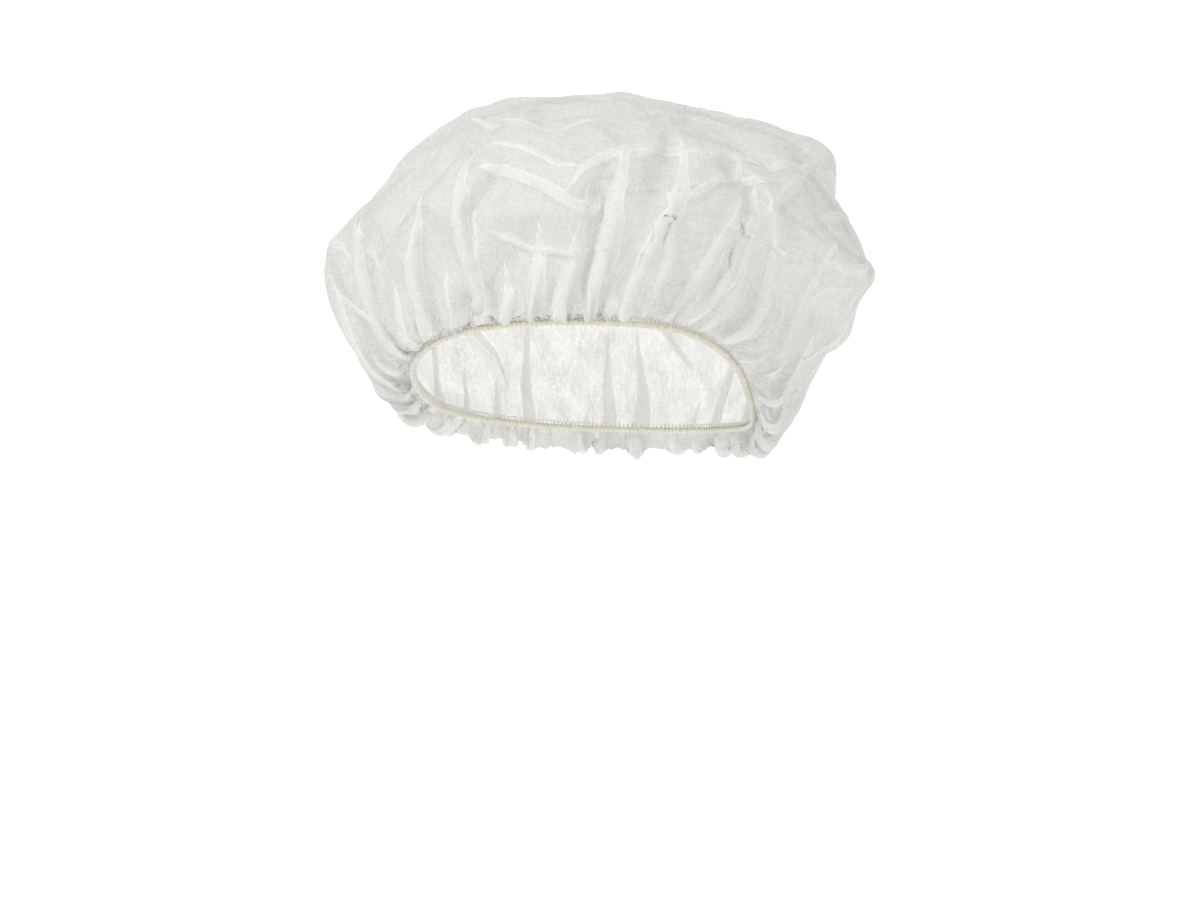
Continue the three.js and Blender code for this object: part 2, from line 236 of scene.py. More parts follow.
# The photograph's camera: level, from the wearer's left of the front
CAMERA_TURN = 15
CAMERA_DISTANCE = 1.1
CAMERA_HEIGHT = -15 * MM
CAMERA_ASIDE = 6.65 * MM
PHOTO_WIDTH = 1200
PIXEL = 0.443 * MM  # what one pixel spans at the cap
SENSOR_WIDTH = 36  # mm, as Blender counts it

# The paper: a floor that bends up into a wall
FLOOR_HEIGHT = -0.27
WALL_AWAY = 1.8
WALL_BEND = 0.6
BEND_STEPS = 16
STAGE_WIDTH = 10
# Its own glow: how far from the foot of the wall it starts and ends to fade, and its strengths
GLOW_INSIDE, GLOW_OUTSIDE = 1.1, 2.2
GLOW, GLOW_LEAST = 0.72, 0.12

# Area lights: metres towards the camera, to its right and up, then width and watts
LIGHTS = {"key": (1.2, -1.0, 1.3, 0.9, 17), "fill": (1.6, 1.1, 0.4, 1.4, 5)}
LIT_PLACE = Vector((0, 0, 0.06))
WORLD_LIGHT = 0.48
CLEAR_LAYERS = 24  # see-through surfaces that a ray may pass


def smooth(x, start, end):
    """0 up to start and 1 from end on, with a smooth step between."""
    t = np.clip((x - start) / (end - start), 0, 1)
    return t * t * (3 - 2 * t)


def around(rows, column, turns):
    """A table's column at turns: smooth, and periodic in the rows' turns."""
    at = np.array([r[0] for r in rows], float)
    value = np.array([r[column] for r in rows], float)
    place = np.concatenate([at[-1:] - 360, at, at[:2] + 360])
    value = np.concatenate([value[-1:], value, value[:2]])
    x = np.mod(turns - at[0], 360) + at[0]
    i = np.clip(np.searchsorted(place, x, side="right") - 1, 1, len(at))
    slope = np.zeros(len(place))
    slope[1:-1] = (value[2:] - value[:-2]) / (place[2:] - place[:-2])
    slope[0] = slope[len(at)]
    slope[-1] = slope[2]
    step = place[i + 1] - place[i]
    t = (x - place[i]) / step
    blend = (3 - 2 * t) * t * t
    bend = step * t * (1 - t) * (slope[i] * (1 - t) - slope[i + 1] * t)
    return value[i] * (1 - blend) + value[i + 1] * blend + bend


def ellipse_radius(width, depth, turns):
    """Distance from the middle of an ellipse to its line, at turns."""
    a = np.radians(turns)
    return 1 / np.hypot(np.sin(a) / (width / 2), np.cos(a) / (depth / 2))


def place_at(turns, radius, set_back, height):
    """Points at turns round a middle that is set back towards the nape."""
    a = np.radians(turns)
    x = radius * np.sin(a)
    y = set_back - radius * np.cos(a)
    return np.stack([x, y, np.broadcast_to(height, x.shape)], -1)


def band_points(turns):
    """The middle line of the elastic at turns."""
    radius = ellipse_radius(BAND_WIDTH, BAND_DEPTH, turns)
    return place_at(turns, radius, 0, BAND_RISE * around(BAND_LINE, 1, turns))


def curve_through(controls):
    """Centripetal Catmull-Rom curves through controls (turns, points, 3), as dense points."""
    before = 2 * controls[:, :1] - controls[:, 1:2]
    after = 2 * controls[:, -1:] - controls[:, -2:-1]
    p = np.concatenate([before, controls, after], 1)
    gap = np.linalg.norm(np.diff(p, axis=1), axis=-1, keepdims=True) ** 0.5
    pieces = []
    t = np.linspace(0, 1, SEGMENT_STEPS, endpoint=False)[None, :, None]
    for i in range(controls.shape[1] - 1):
        a, b, c, d = (p[:, i + k] for k in range(4))
        d0, d1, d2 = (gap[:, i + k] for k in range(3))
        m1 = ((b - a) / d0 - (c - a) / (d0 + d1) + (c - b) / d1) * d1
        m2 = ((c - b) / d1 - (d - b) / (d1 + d2) + (d - c) / d2) * d1
        b, c, m1, m2 = (v[:, None] for v in (b, c, m1, m2))
        pieces.append(
            b + m1 * t + (3 * (c - b) - 2 * m1 - m2) * t**2 + (2 * (b - c) + m1 + m2) * t**3
        )
    pieces.append(controls[:, -1:])
    return np.concatenate(pieces, 1)


def smooth_crown():
    """A grid of points of the smooth crown by turn and level, and its length from edge to top."""
    turns = np.arange(GRID_TURNS) * 360 / GRID_TURNS
    radius = ellipse_radius(CAP_WIDTH, CAP_DEPTH, turns)
    share = [around(MERIDIANS, k + 1, turns) for k in range(MERIDIAN_COLUMNS)]
    band = band_points(turns)
    edge = band + np.array([0, 0, SEAM_HEIGHT])
    controls = [edge, edge + place_at(turns, SEAM_ROLL, 0, SEAM_RISE * share[1])]
    fall_height = band[:, 2] + HANG * share[1]
    controls.append(place_at(turns, radius * share[0], FALL_SET_BACK, fall_height))
    for k in range(2, MERIDIAN_COLUMNS, 2):
        height = CAP_HEIGHT * share[k + 1]
        controls.append(place_at(turns, radius * share[k], CAP_SET_BACK, height))
    controls.append(place_at(turns, radius * TOP_OUT, CAP_SET_BACK, CAP_HEIGHT))
    controls.append(place_at(turns, radius * 0, CAP_SET_BACK, CAP_HEIGHT))
    lines = curve_through(np.stack(controls, 1))
    run = np.linalg.norm(np.diff(lines, axis=1), axis=-1)
    along = np.concatenate([np.zeros((GRID_TURNS, 1)), np.cumsum(run, 1)], 1)
    levels = np.linspace(0, 1, GRID_LEVELS + 1)
    grid = np.empty((GRID_TURNS, GRID_LEVELS + 1, 3))
    for i in range(GRID_TURNS):
        for k in range(3):
            grid[i, :, k] = np.interp(levels * along[i, -1], along[i], lines[i, :, k])
    return grid, along[:, -1].mean()


def grid_normals(grid):
    """Outward normals of a grid of points by turn and level."""
    across = np.roll(grid, -1, 0) - np.roll(grid, 1, 0)
    normal = np.cross(across, np.gradient(grid, axis=1))
    normal[:, -1] = (0, 0, 1)
    return normal / (np.linalg.norm(normal, axis=-1, keepdims=True) + TINY)


def finer(values, share, periodic):
    """Values along the first axis with smooth steps between them, share to each step."""
    if periodic:
        padded = np.concatenate([values[-1:], values, values[:2]])
        spans = len(values)
    else:
        before = 2 * values[:1] - values[1:2]
        after = 2 * values[-1:] - values[-2:-1]
        padded = np.concatenate([before, values, after])
        spans = len(values) - 1
    a, b, c, d = (padded[k : k + spans, None] for k in range(4))
    t = (np.arange(share) / share).reshape(1, share, *[1] * (values.ndim - 1))
    steps = b + 0.5 * t * (c - a + t * (2 * a - 5 * b + 4 * c - d + t * (3 * (b - c) + d - a)))
    steps = steps.reshape(spans * share, *values.shape[1:])
    return steps if periodic else np.concatenate([steps, values[-1:]])


def on_grid(grid, turns, levels):
    """Values of a grid at turns and levels."""
    u = np.mod(turns, 360) / 360 * GRID_TURNS
    v = np.clip(levels, 0, 1) * GRID_LEVELS
    i = np.floor(u).astype(int) % GRID_TURNS
    j = np.minimum(np.floor(v).astype(int), GRID_LEVELS - 1)
    s = (u - np.floor(u))[..., None]
    t = (v - j)[..., None]
    n = (i + 1) % GRID_TURNS
    low = grid[i, j] * (1 - s) + grid[n, j] * s
    high = grid[i, j + 1] * (1 - s) + grid[n, j + 1] * s
    return low * (1 - t) + high * t


def all_pleats():
    """The pleats of the table and, over the arc that it leaves, the plain ones."""
    first = FRONT_PLEATS[0][0] + 360
    last = FRONT_PLEATS[-1][0]
    step = (first - last) / (REAR_PLEATS + 1)
    pleats = list(FRONT_PLEATS)
    for i in range(1, REAR_PLEATS + 1):
        vary, other = (math.sin(beat * i) for beat in REAR_BEATS)
        turn = last + step * (i + REAR_SHIFT * vary)
        size = REAR_SIZE[0] + REAR_SIZE[1] * other
        level = REAR_LEVEL[0] + REAR_LEVEL[1] * vary
        pleats.append((turn, size, level, REAR_LEAN * other, 1 if other > 0 else -1))
    return pleats


def pleat_lift(turns, levels, length):
    """How far the rounded pleats raise the cloth at a grid of turns and levels."""
    pleats = all_pleats()
    turn = turns[:, None]
    level = levels[None]
    climb = smooth(levels, 0, LEAN_LEVEL)
    grown = smooth(level * length, 0, PLEAT_START)
    middles = np.stack([p[0] + p[3] * climb for p in pleats])
    lift = np.zeros((len(turns), len(levels)))
    for i, (_, size, last, _, _) in enumerate(pleats):
        away = np.mod(turn - middles[i][None] + 180, 360) - 180
        ahead = np.mod(middles[(i + 1) % len(pleats)] - middles[i], 360)[None]
        behind = np.mod(middles[i] - middles[i - 1], 360)[None]
        share = np.clip(away / np.where(away > 0, ahead, behind) * 2, -1, 1)
        faded = 1 - smooth(level, PLEAT_FADE * last, last)
        raised = (0.5 + 0.5 * np.cos(np.pi * share)) ** PLEAT_SHARP - PLEAT_VALLEY
        lift += np.where(np.abs(share) < 1, raised, 0) * faded * grown * PLEAT_ROUND * size
    return lift


def blurred(values, cells):
    """Values by turn and level, each the mean of those up to a number of cells away."""
    reach = range(-cells, cells + 1)
    across = sum(np.roll(values, k, 0) for k in reach) / len(reach)
    padded = np.pad(across, ((0, 0), (cells, cells), (0, 0)), mode="edge")
    return sum(padded[:, cells + k : cells + k + values.shape[1]] for k in reach) / len(reach)


def cloth_object(coarse, all_levels):
    """The mesh of the cloth run, with the groups that hold it and calm its growth."""
    turns, levels = coarse.shape[:2]
    index = np.arange(turns * levels).reshape(turns, levels)
    after = np.roll(index, -1, 0)
    faces = np.stack([index[:, :-1], after[:, :-1], after[:, 1:], index[:, 1:]], -1)
    obj = mesh_object("cloth_run", coarse.reshape(-1, 3), faces.reshape(-1, 4).tolist())
    at = np.tile(np.arange(levels), turns)
    still = (at < HELD_LEVELS) | (at >= levels - HELD_LEVELS)
    held = obj.vertex_groups.new(name="held")
    held.add(np.flatnonzero(still).tolist(), 1.0, "REPLACE")
    held.add(np.flatnonzero(~still).tolist(), CLOTH_HOLD, "REPLACE")
    calm = obj.vertex_groups.new(name="calm")
    for level in range(levels):
        weight = np.interp(level / all_levels, CLOTH_CALM[0], CLOTH_CALM[1])
        calm.add(np.flatnonzero(at == level).tolist(), float(weight), "REPLACE")
    modifier = obj.modifiers.new("cloth", "CLOTH")
    cloth = modifier.settings
    cloth.quality = CLOTH_QUALITY
    cloth.mass = CLOTH_MASS
    cloth.tension_stiffness = CLOTH_STIFFNESS
    cloth.compression_stiffness = CLOTH_STIFFNESS
    cloth.shear_stiffness = CLOTH_SHEAR
    cloth.bending_stiffness = CLOTH_BEND
    cloth.air_damping = CLOTH_DRAG
    cloth.shrink_min = -CLOTH_GROWTH
    cloth.shrink_max = 0
    cloth.vertex_group_shrink = calm.name
    cloth.vertex_group_mass = held.name
    cloth.effector_weights.gravity = 0
    modifier.collision_settings.use_collision = False
    modifier.point_cache.frame_end = CLOTH_FRAMES + 1
    return obj


def settled(grid):
    """The grid after a short cloth run, in which the cloth outgrows its place and crumples."""
    coarse = grid[::CLOTH_SHARE, ::CLOTH_SHARE]
    turns, all_levels = coarse.shape[:2]
    levels = int(CLOTH_TOP * all_levels)
    coarse = coarse[:, :levels]
    obj = cloth_object(coarse, all_levels)
    for at_frame in range(1, CLOTH_FRAMES + 1):
        bpy.context.scene.frame_set(at_frame)
    run = obj.evaluated_get(bpy.context.evaluated_depsgraph_get())
    end = np.empty(coarse.size)
    run.data.vertices.foreach_get("co", end)
    bpy.data.objects.remove(obj)
    bpy.context.scene.frame_set(1)
    move = end.reshape(coarse.shape) - coarse
    far = np.linalg.norm(move, axis=-1, keepdims=True)
    move *= np.minimum(1, CLOTH_REACH / np.maximum(far, TINY))
    normal = grid_normals(coarse)
    swell = blurred((move * normal).sum(-1, keepdims=True), SWELL_CELLS)
    whole = np.zeros((turns, all_levels, 3))
    whole[:, :levels] = move - swell * normal
    move = finer(whole, CLOTH_SHARE, periodic=True)
    return grid + finer(move.swapaxes(0, 1), CLOTH_SHARE, periodic=False).swapaxes(0, 1)


def level_rows():
    """Levels of the mesh's rows, closest at the seam."""
    rows = [0.0]
    while rows[-1] < LAST_ROW:
        step = ROW_STEP
        for growth, start, end in ROW_GROWTH:
            step += growth * float(smooth(rows[-1], start, end))
        rows.append(rows[-1] + step)
    return rows[:-1]


def seam_ripples(turns, from_seam):
    """How far the small gathers raise the cloth, at turns and one distance from the seam."""
    rng = np.random.default_rng(RIPPLE_SEED)
    knots = np.sort(rng.uniform(0, 360, RIPPLES))
    size = rng.uniform(LEAST_RIPPLE, 1, RIPPLES)
    way = np.where(np.arange(RIPPLES) % 2 == 0, 1.0, -1.0) * size
    near = np.searchsorted(knots, turns) % RIPPLES
    gap = np.mod(knots[near] - knots[near - 1], 360)
    t = np.mod(turns - knots[near - 1], 360) / np.maximum(gap, TINY)
    mixed = way[near - 1] + (way[near] - way[near - 1]) * smooth(t, 0, 1)
    fade = smooth(from_seam, 0, RIPPLE_GROWN) * (1 - smooth(from_seam, RIPPLE_FADES, RIPPLE_ENDS))
    off_rear = smooth(np.abs(turns - 180), *REAR_ARC)
    return RIPPLE * mixed * float(fade) * (REAR_RIPPLE + (1 - REAR_RIPPLE) * off_rear)


def crown_mesh(grid, normal, length):
    """The cloth's faces, points, flat places, and turn and level of each point."""
    points, flats, places, faces = [], [], [], []
    previous = None
    total = 0
    for level in level_rows():
        keep = max(step for start, step in COLUMN_STEPS if level >= start)
        turn = np.arange(0, COLUMNS, keep) * 360 / COLUMNS
        levels = np.full(len(turn), level)
        lift = seam_ripples(turn, level * length)
        points.append(on_grid(grid, turn, levels) + on_grid(normal, turn, levels) * lift[:, None])
        a = np.radians(turn)
        flat_radius = (1 - level) * DISC_DIAMETER / 2
        flats.append(np.stack([flat_radius * np.sin(a), -flat_radius * np.cos(a)], -1))
        places.append(np.stack([turn, levels], -1))
        ring = total + np.arange(len(turn))
        total += len(turn)
        if previous is not None:
            up = np.roll(ring, -1)
            if len(previous) == len(ring):
                faces += np.stack([previous, np.roll(previous, -1), up, ring], -1).tolist()
            else:
                two = previous.reshape(-1, 2)
                after = np.roll(two[:, 0], -1)
                faces += np.stack([two[:, 0], two[:, 1], ring], -1).tolist()
                faces += np.stack([two[:, 1], after, up, ring], -1).tolist()
        previous = ring
    points.append(on_grid(grid, np.zeros(1), np.ones(1)))
    flats.append(np.zeros((1, 2)))
    places.append(np.array([[0.0, 1.0]]))
    faces += [[int(a), int(b), total] for a, b in zip(previous, np.roll(previous, -1))]
    return faces, *(np.concatenate(v) for v in (points, flats, places))


def breadths(position, kind):
    """Breadth of a flat fold, as a share of its greatest, from its first stop to its last."""
    if kind == "tuck":
        full, narrows = TUCK_ENDS
        return smooth(position, 0, full) * (1 - smooth(position, narrows, 1))
    climb = position if kind == "pleat" else 1 - position
    return np.interp(climb, *PLEAT_TAPER)


def flat_fold(points, normals, bands, grid, half_width, lift, stops, kind):
    """Raises a flattened fold along a line: steep on one side and long on the other.

    kind is tuck, or pleat or pleat_back where the first or the last stop is at the seam.
    """
    turns = np.array([s[0] for s in stops], float)
    levels = np.array([s[1] for s in stops], float)
    t = np.linspace(0, len(stops) - 1, FOLD_STEPS * (len(stops) - 1) + 1)
    base = np.arange(len(stops))
    line = on_grid(grid, np.interp(t, base, turns), np.interp(t, base, levels))
    reach = half_width * FOLD_REACH
    close = (points > line.min(0) - reach) & (points < line.max(0) + reach)
    near = np.flatnonzero(np.all(close, axis=1))
    p = points[near]
    start = line[:-1]
    run = line[1:] - start
    share = np.einsum("nsk,sk->ns", p[:, None] - start[None], run) / (run**2).sum(-1)
    share = np.clip(share, 0, 1)
    foot = start[None] + share[..., None] * run[None]
    away = np.linalg.norm(p[:, None] - foot, axis=-1)
    best = away.argmin(1)
    rows = np.arange(len(p))
    gap = p - foot[rows, best]
    along = run[best] / np.linalg.norm(run[best], axis=-1, keepdims=True)
    n = normals[near]
    across = np.cross(n, along)
    across /= np.linalg.norm(across, axis=-1, keepdims=True) + TINY
    off = np.einsum("nk,nk->n", gap, across)
    past = np.abs(np.einsum("nk,nk->n", gap, along))
    half = half_width * breadths((best + share[rows, best]) / len(start), kind)
    inside = (1 - smooth(past, 0, half_width)) * (away[rows, best] < reach)
    profile = np.interp(off / np.maximum(half, LEAST_HALF), *FOLD_PROFILE)
    points[near] += (lift * half * inside * profile)[:, None] * n
    edge = half * inside - np.abs(off - BAND_SHIFT * half)
    bands[near] = np.maximum(bands[near], np.where(half > 0, edge / BAND_UNIT, -1))


def crumple(points, normals, places):
    """Soft waves with sharp ridges, as thin crisp cloth has."""
    lift = np.zeros(len(points))
    strength = smooth(places[:, 1], *CRUMPLE_LEVELS)
    for waves, height in CRUMPLES:
        tall = waves * CRUMPLE_TALL
        value = np.array([
            noise.noise(Vector((x * waves, y * waves, z * tall + waves)))
            for x, y, z in points
        ])
        lift += height * np.clip(1 - np.abs(value) * CRUMPLE_RIDGE, -1, 1)
    return points + normals * (lift * strength)[:, None]


def mesh_object(name, points, faces, flats=None):
    """A smooth-shaded mesh, with the points' flat places as its UV map where they are given."""
    mesh = bpy.data.meshes.new(name)
    mesh.from_pydata([tuple(p) for p in points], [], faces)
    mesh.polygons.foreach_set("use_smooth", [True] * len(mesh.polygons))
    if flats is not None:
        layer = mesh.uv_layers.new(name="flat")
        loops = np.empty(len(mesh.loops), np.int32)
        mesh.loops.foreach_get("vertex_index", loops)
        layer.data.foreach_set("uv", flats[loops].ravel())
    mesh.update()
    obj = bpy.data.objects.new(name, mesh)
    bpy.context.scene.collection.objects.link(obj)
    return obj


def make_crown():
    """The fabric: smooth form, swells, pleats, the cloth run, seam gathers, folds, crumples."""
    grid, length = smooth_crown()
    for turn, level, lift, breadth in SWELLS:
        middle = on_grid(grid, np.array([turn]), np.array([level]))[0]
        away = np.linalg.norm(grid - middle, axis=-1) / (breadth * MM)
        grid = grid + grid_normals(grid) * (lift * MM * np.exp(-(away**2)))[..., None]
    turns = np.arange(GRID_TURNS) * 360 / GRID_TURNS
    levels = np.linspace(0, 1, GRID_LEVELS + 1)
    grid = grid + grid_normals(grid) * pleat_lift(turns, levels, length)[..., None]
    grid = settled(grid)
    normal = grid_normals(grid)
    faces, points, flats, places = crown_mesh(grid, normal, length)
    normals = on_grid(normal, places[:, 0], places[:, 1])
    bands = -np.ones(len(points))
    for turn, size, last, lean, way in all_pleats():
        climb = np.linspace(PLEAT_FOOT, last * PLEAT_PAST, PLEAT_STOPS)
        stops = [(turn + lean * float(smooth(v, 0, LEAN_LEVEL)), v) for v in climb]
        kind = "pleat" if way > 0 else "pleat_back"
        half_width = PLEAT_EDGE * size
        flat_fold(points, normals, bands, grid, half_width, PLEAT_LIFT, stops[::way], kind)
    for half_width, *stops in TUCKS:
        flat_fold(points, normals, bands, grid, half_width * MM, TUCK_LIFT, stops, "tuck")
    points = crumple(points, normals, places)
    obj = mesh_object("crown_fabric", points, faces, flats)
    # The fold marks: the material makes the cloth denser there and paints light on it
    obj.data.attributes.new("folded", "FLOAT", "POINT").data.foreach_set("value", bands)
    return obj


def tube(centres, radius, sides):
    """A tube round a loop of points, as vertices and faces, with one radius or one a point."""
    count = len(centres)
    along = np.roll(centres, -1, 0) - np.roll(centres, 1, 0)
    along /= np.linalg.norm(along, axis=-1, keepdims=True)
    # A direction near straight up that no stretch of these tubes runs along
    up = np.array([0.02, 0.03, 1.0])
    side = np.cross(along, up)
    side /= np.linalg.norm(side, axis=-1, keepdims=True)
    top = np.cross(side, along)
    a = np.arange(sides) * 2 * np.pi / sides
    size = np.broadcast_to(radius, count)[:, None, None]
    ring = side[:, None] * np.cos(a)[None, :, None] + top[:, None] * np.sin(a)[None, :, None]
    points = (centres[:, None] + ring * size).reshape(-1, 3)
    i, j = np.meshgrid(np.arange(count), np.arange(sides), indexing="ij")
    n = (i + 1) % count
    m = (j + 1) % sides
    faces = np.stack([i * sides + j, i * sides + m, n * sides + m, n * sides + j], -1)
    return points, faces.reshape(-1, 4).tolist()


def band_frame(turns):
    """Centre line of the band, with its directions along, out and up."""
    centre = band_points(turns)
    along = band_points(turns + 0.5) - band_points(turns - 0.5)
    along /= np.linalg.norm(along, axis=-1, keepdims=True)
    out = np.cross(along, np.array([0, 0, 1.0]))
    out /= np.linalg.norm(out, axis=-1, keepdims=True)
    return centre, along, out, np.cross(out, along)


def make_cord():
    """The covered elastic round the head, a little uneven."""
    turns = np.arange(CORD_STEPS) * 360 / CORD_STEPS
    uneven = 1 + sum(share * np.sin(np.radians(turns * waves)) for share, waves in CORD_WAVES)
    points, faces = tube(band_points(turns), CORD_RADIUS * uneven, CORD_SIDES)
    return mesh_object("elastic_cord", points, faces)


def make_stitches():
    """An overlock thread wound round the elastic and the fabric's edge."""
    phase = np.arange(STITCHES * STITCH_STEPS) / STITCH_STEPS
    centre, along, out, up = band_frame(phase * 360 / STITCHES)
    a = 2 * np.pi * phase
    rng = np.random.default_rng(STITCH_SEED)
    uneven = 1 + STITCH_UNEVEN * np.repeat(rng.uniform(-1, 1, STITCHES), STITCH_STEPS)
    aside = np.cos(a) * (CORD_RADIUS + STITCH_CLEARANCE) * uneven
    height = np.sin(a) * STITCH_HEIGHT / 2 * uneven + STITCH_HEIGHT / 2 - STITCH_DROP
    lean = STITCH_LEAN * np.cos(a)
    line = centre + out * aside[:, None] + up * height[:, None] + along * lean[:, None]
    points, faces = tube(line, THREAD_RADIUS, THREAD_SIDES)
    return mesh_object("overlock_stitches", points, faces)


def node(tree, kind, inputs=(), **values):
    """A new node, with its properties and the values of named inputs."""
    made = tree.nodes.new(kind)
    for key, value in values.items():
        setattr(made, key, value)
    for name, value in dict(inputs).items():
        made.inputs[name].default_value = value
    return made


def combined(tree, first, second, operation):
    """A math node of two values, each a socket or a number."""
    made = node(tree, "ShaderNodeMath", operation=operation)
    for socket, value in zip(made.inputs, (first, second)):
        if isinstance(value, (int, float)):
            socket.default_value = value
        else:
            tree.links.new(value, socket)
    return made.outputs[0]


def ranged(tree, value, low, high, to_low, to_high):
    """A value from a range, brought to another range and kept in it."""
    made = node(tree, "ShaderNodeMapRange", {
        "From Min": low, "From Max": high, "To Min": to_low, "To Max": to_high,
    })
    tree.links.new(value, made.inputs["Value"])
    return made.outputs["Result"]


def fibre_lines(tree, vector, waves, seed, width):
    """Thin wandering lines, as the fibres of a nonwoven: 1 on a fibre and 0 beside it."""
    link = tree.links.new
    mapping = node(tree, "ShaderNodeMapping", {
        "Location": (seed, 2 * seed, 0),
        "Rotation": (0, 0, seed),
        "Scale": (waves, waves * FIBRE_STRETCH, waves),
    })
    link(vector, mapping.inputs["Vector"])
    texture = node(tree, "ShaderNodeTexNoise", {"Scale": 1, "Detail": 1.5, "Distortion": 0.6})
    link(mapping.outputs["Vector"], texture.inputs["Vector"])
    shift = combined(tree, texture.outputs["Fac"], 0.5, "SUBTRACT")
    return ranged(tree, combined(tree, shift, 0, "ABSOLUTE"), 0, width, 1, 0)


def fabric_material():
    """Thin white spunbond: fibres in every direction, see-through between them."""
    material = bpy.data.materials.new("nonwoven_fabric")
    material.use_nodes = True
    tree = material.node_tree
    tree.nodes.clear()
    link = tree.links.new
    flat = node(tree, "ShaderNodeUVMap", uv_map="flat").outputs["UV"]
    fibres = fibre_lines(tree, flat, *FIBRES[0])
    for row in FIBRES[1:]:
        fibres = combined(tree, fibres, fibre_lines(tree, flat, *row), "MAXIMUM")
    cloud = node(tree, "ShaderNodeTexNoise", {"Scale": 70, "Detail": 4})
    link(flat, cloud.inputs["Vector"])

    # Denser on fibres, in thick places and in the bands of folded cloth
    folded = node(tree, "ShaderNodeAttribute", attribute_name="folded").outputs["Fac"]
    band = ranged(tree, folded, *BAND_EDGE, 0, 1)
    thick = ranged(tree, cloud.outputs["Fac"], *NOISE_SPREAD, *CLOUD_DENSITY)
    single = combined(tree, thick, ranged(tree, fibres, 0, 1, *DENSITY), "ADD")
    density = combined(tree, single, ranged(tree, band, 0, 1, 0, BAND_DENSITY), "ADD")

    # Whiter on fibres, their own tone, and painted light on the bands of folded cloth, most along
    # the bands' edges, for the brighter look of stacked layers
    painted_light_core_drop = ranged(tree, folded, *BAND_CORE, 0, CORE_PAINTED_LIGHT)
    painted_fold_light = combined(tree, ranged(tree, band, 0, 1, 0, BAND_PAINTED_LIGHT), painted_light_core_drop, "ADD")
    whiter_share_with_painted_light = combined(tree, ranged(tree, fibres, 0, 1, 0, FIBRE_WHITE), painted_fold_light, "ADD")
    colours = {"A": SINGLE_COLOUR, "B": FIBRE_TONE_AND_PAINTED_LIGHT_COLOUR}
    colour = node(tree, "ShaderNodeMix", colours, data_type="RGBA")
    link(whiter_share_with_painted_light, colour.inputs["Factor"])

    # Fine creases, with the fibres' own relief on them
    wrinkle = node(tree, "ShaderNodeTexNoise", {"Scale": 55, "Detail": 3, "Distortion": 1.2})
    link(flat, wrinkle.inputs["Vector"])
    shift = combined(tree, wrinkle.outputs["Fac"], 0.5, "SUBTRACT")
    crease = node(tree, "ShaderNodeBump", {"Strength": 0.48, "Distance": 2.5 * MM})
    link(combined(tree, shift, 0, "ABSOLUTE"), crease.inputs["Height"])
    bump = node(tree, "ShaderNodeBump", {"Strength": 0.35, "Distance": 0.15 * MM})
    link(fibres, bump.inputs["Height"])
    link(crease.outputs["Normal"], bump.inputs["Normal"])

    cloth = node(tree, "ShaderNodeBsdfPrincipled", {
        "Roughness": 0.62, "Specular IOR Level": 0.3, "Sheen Weight": 0.15,
    })
    link(colour.outputs["Result"], cloth.inputs["Base Color"])
    link(bump.outputs["Normal"], cloth.inputs["Normal"])
    through = node(tree, "ShaderNodeBsdfTranslucent")
    link(colour.outputs["Result"], through.inputs["Color"])
    link(bump.outputs["Normal"], through.inputs["Normal"])
    both = node(tree, "ShaderNodeMixShader", {"Fac": LIGHT_THROUGH})
    link(cloth.outputs["BSDF"], both.inputs[1])
    link(through.outputs["BSDF"], both.inputs[2])
    clear = node(tree, "ShaderNodeBsdfTransparent", {"Color": CLEAR_COLOUR})
    seen = node(tree, "ShaderNodeMixShader")
    link(density, seen.inputs["Fac"])
    link(clear.outputs["BSDF"], seen.inputs[1])
    link(both.outputs["Shader"], seen.inputs[2])
    output = node(tree, "ShaderNodeOutputMaterial")
    link(seen.outputs["Shader"], output.inputs["Surface"])
    return material


def thread_material(name, dark, light, waves, roughness):
    """Soft spun thread or covered elastic, with fine uneven fibre."""
    material = bpy.data.materials.new(name)
    material.use_nodes = True
    tree = material.node_tree
    link = tree.links.new
    cloth = tree.nodes["Principled BSDF"]
    cloth.inputs["Roughness"].default_value = roughness
    cloth.inputs["Specular IOR Level"].default_value = 0.25
    cloth.inputs["Sheen Weight"].default_value = 0.3
    place = node(tree, "ShaderNodeTexCoord").outputs["Object"]
    fine = node(tree, "ShaderNodeTexNoise", {"Scale": waves, "Detail": 4})
    link(place, fine.inputs["Vector"])
    colour = node(tree, "ShaderNodeMix", {"A": dark, "B": light}, data_type="RGBA")
    link(ranged(tree, fine.outputs["Fac"], *NOISE_SPREAD, 0, 1), colour.inputs["Factor"])
    link(colour.outputs["Result"], cloth.inputs["Base Color"])
    bump = node(tree, "ShaderNodeBump", {"Strength": 0.48, "Distance": 0.1 * MM})
    link(fine.outputs["Fac"], bump.inputs["Height"])
    link(bump.outputs["Normal"], cloth.inputs["Normal"])
    return material


def make_camera():
    """The photograph's camera, and its directions back and to the right."""
    a = math.radians(CAMERA_TURN)
    back = Vector((math.sin(a), -math.cos(a), 0))
    right = Vector((math.cos(a), math.sin(a), 0))
    data = bpy.data.cameras.new("camera")
    data.sensor_width = SENSOR_WIDTH
    data.lens = SENSOR_WIDTH * CAMERA_DISTANCE / (PHOTO_WIDTH * PIXEL)
    data.clip_start = 0.05
    data.clip_end = 50
    camera = bpy.data.objects.new("camera", data)
    height = Vector((0, 0, CAMERA_HEIGHT))
    camera.location = back * CAMERA_DISTANCE + right * CAMERA_ASIDE + height
    camera.rotation_mode = "QUATERNION"
    camera.rotation_quaternion = (-back).to_track_quat("-Z", "Y")
    bpy.context.scene.collection.objects.link(camera)
    bpy.context.scene.camera = camera
    return back, right


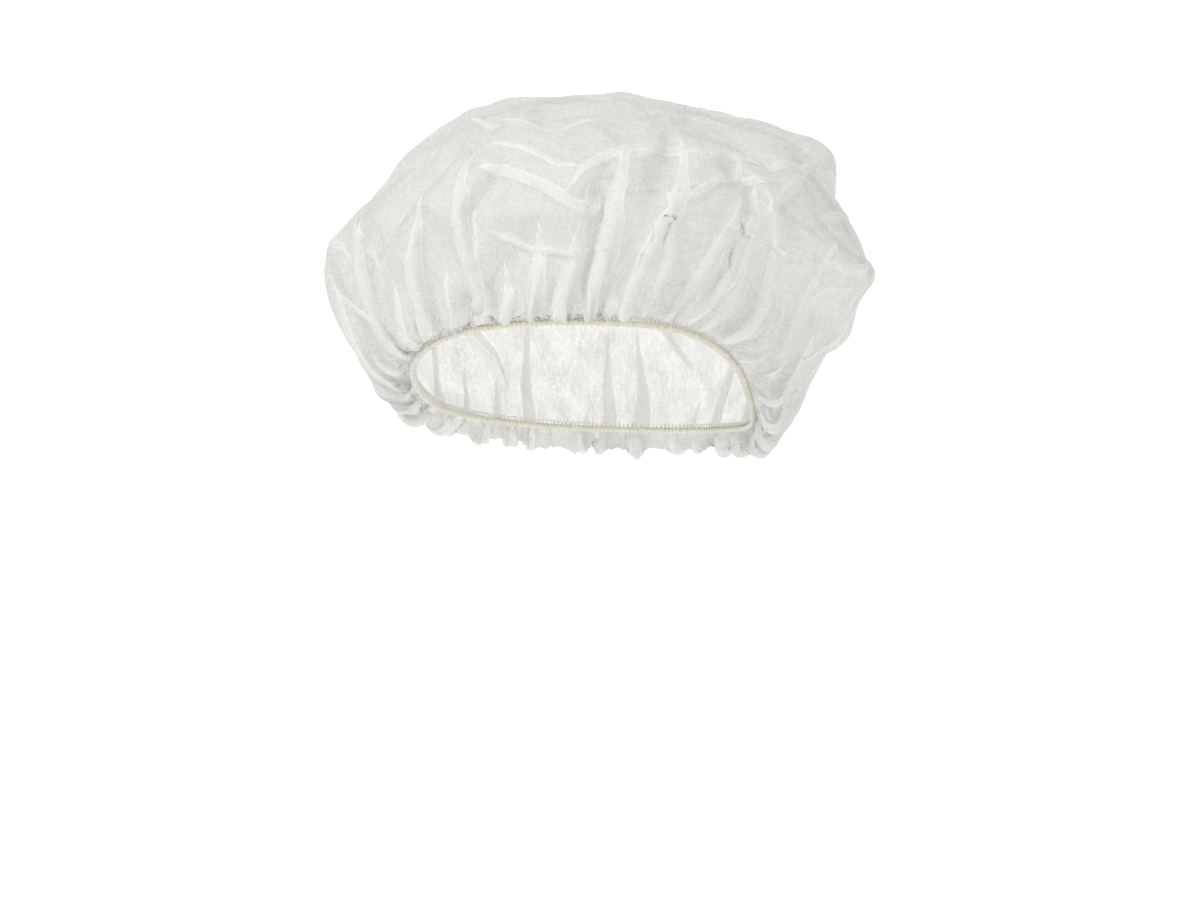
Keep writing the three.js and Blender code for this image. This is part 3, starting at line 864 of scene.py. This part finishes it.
def area_light(name, place, size, power):
    """A square light turned to the cap."""
    data = bpy.data.lights.new(name, "AREA")
    data.size = size
    data.energy = power
    light = bpy.data.objects.new(name, data)
    light.location = place
    light.rotation_mode = "QUATERNION"
    light.rotation_quaternion = (LIT_PLACE - place).to_track_quat("-Z", "Y")
    bpy.context.scene.collection.objects.link(light)


def make_paper():
    """White paper that glows most at the foot of the wall behind the cap."""
    material = bpy.data.materials.new("paper")
    material.use_nodes = True
    tree = material.node_tree
    paper = tree.nodes["Principled BSDF"]
    paper.inputs["Base Color"].default_value = (0.9, 0.9, 0.9, 1)
    paper.inputs["Roughness"].default_value = 0.9
    paper.inputs["Specular IOR Level"].default_value = 0.1
    paper.inputs["Emission Color"].default_value = (1, 1, 1, 1)
    place = node(tree, "ShaderNodeTexCoord").outputs["Object"]
    away = node(tree, "ShaderNodeVectorMath", operation="DISTANCE")
    tree.links.new(place, away.inputs[0])
    away.inputs[1].default_value = (0, WALL_AWAY, FLOOR_HEIGHT)
    glow = ranged(tree, away.outputs["Value"], GLOW_INSIDE, GLOW_OUTSIDE, GLOW, GLOW_LEAST)
    tree.links.new(glow, paper.inputs["Emission Strength"])
    return material


def make_studio(back, right):
    """A pale floor that runs up into a white wall behind, and soft light."""
    scene = bpy.context.scene
    world = bpy.data.worlds.new("studio")
    world.use_nodes = True
    background = world.node_tree.nodes["Background"]
    background.inputs["Color"].default_value = (1, 1, 1, 1)
    background.inputs["Strength"].default_value = WORLD_LIGHT
    scene.world = world
    start = WALL_AWAY - WALL_BEND
    half = STAGE_WIDTH / 2
    bend = np.linspace(0, math.pi / 2, BEND_STEPS)
    profile = [(-half, 0.0)]
    profile += [(start + WALL_BEND * math.sin(t), WALL_BEND * (1 - math.cos(t))) for t in bend]
    profile += [(WALL_AWAY, half)]
    points = [(x, y, FLOOR_HEIGHT + z) for y, z in profile for x in (-half, half)]
    faces = [[2 * i, 2 * i + 1, 2 * i + 3, 2 * i + 2] for i in range(len(profile) - 1)]
    floor = mesh_object("floor", points, faces)
    floor.rotation_euler = (0, 0, math.radians(CAMERA_TURN))
    floor.data.materials.append(make_paper())
    for name, (near, aside, height, size, power) in LIGHTS.items():
        place = back * near + right * aside + Vector((0, 0, height))
        area_light(name, place, size, power)
    scene.view_settings.view_transform = "Standard"
    scene.view_settings.look = "None"
    scene.cycles.transparent_max_bounces = CLEAR_LAYERS


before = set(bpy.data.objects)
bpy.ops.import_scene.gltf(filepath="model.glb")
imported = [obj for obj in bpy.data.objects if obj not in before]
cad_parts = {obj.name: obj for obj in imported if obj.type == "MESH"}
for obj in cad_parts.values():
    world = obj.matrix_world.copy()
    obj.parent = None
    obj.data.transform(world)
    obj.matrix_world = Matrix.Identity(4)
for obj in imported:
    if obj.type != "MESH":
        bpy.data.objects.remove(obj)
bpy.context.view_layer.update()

fabric = fabric_material()
elastic = thread_material("elastic", *ELASTIC_LOOK)
thread = thread_material("thread", *THREAD_LOOK)

crown = make_crown()
crown.data.materials.append(fabric)
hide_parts("crown")
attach(crown, "root")

cord = make_cord()
cord.data.materials.append(elastic)
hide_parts("elastic_band")
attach(cord, "root")

stitches = make_stitches()
stitches.data.materials.append(thread)
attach(stitches, "root")

camera_back, camera_right = make_camera()
make_studio(camera_back, camera_right)
